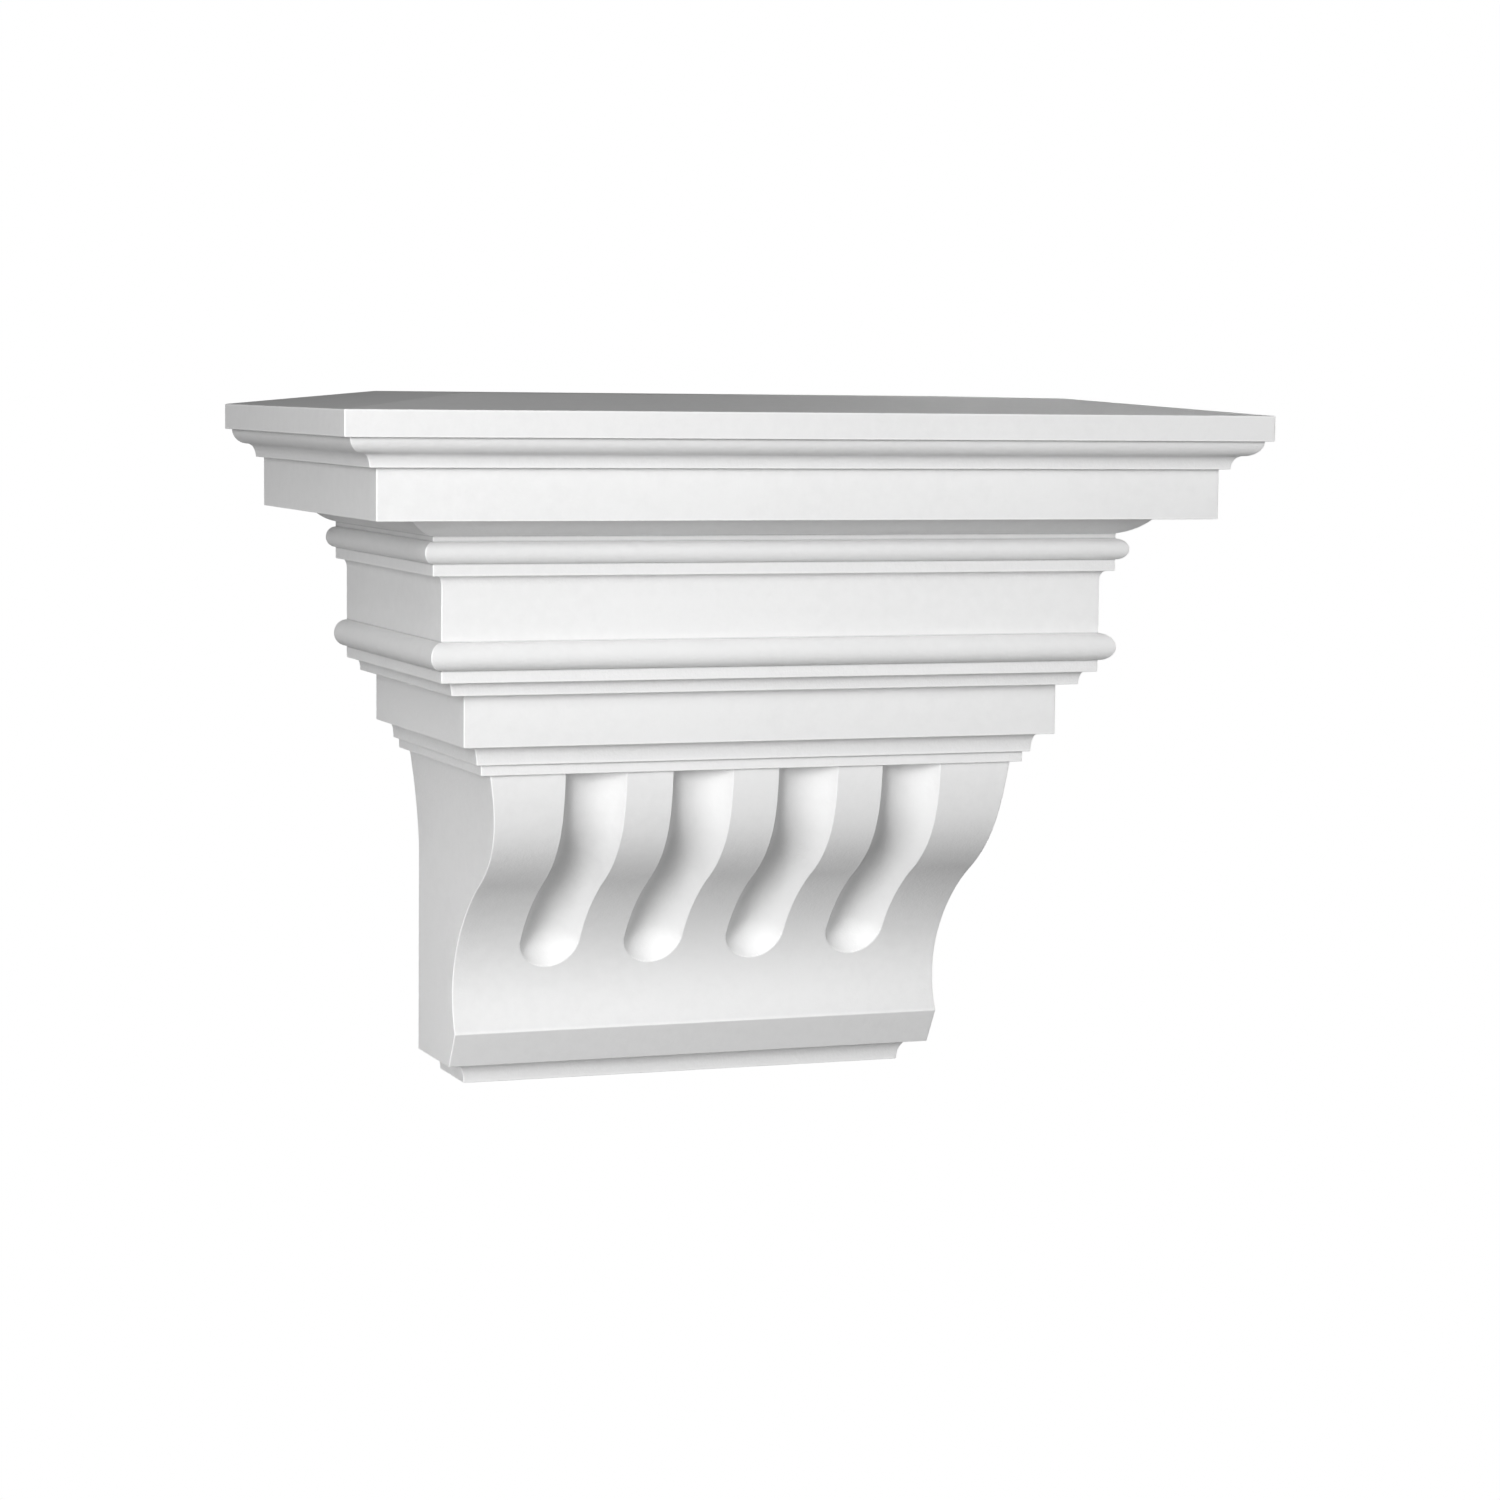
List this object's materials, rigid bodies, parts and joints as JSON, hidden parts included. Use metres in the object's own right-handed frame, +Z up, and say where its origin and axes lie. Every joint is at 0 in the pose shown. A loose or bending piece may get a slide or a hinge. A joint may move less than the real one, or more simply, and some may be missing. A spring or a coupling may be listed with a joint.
{
  "type": "console bracket",
  "caption": "Moulded white wall console with a classical entablature above a fluted, S-curved body and a flat top.",
  "frame": {"origin": "middle of the flat wall face, half way up", "axes": "+X to the right seen from the front, across the symmetry plane; +Y into the wall, so the front looks along -Y; +Z up"},
  "size_m": [0.4, 0.2048, 0.302],
  "materials": {
    "white_primer": "matt white factory primer on rigid polyurethane"
  },
  "bodies": {
    "root": {"console_bracket": "white_primer"}
  },
  "joints": []
}
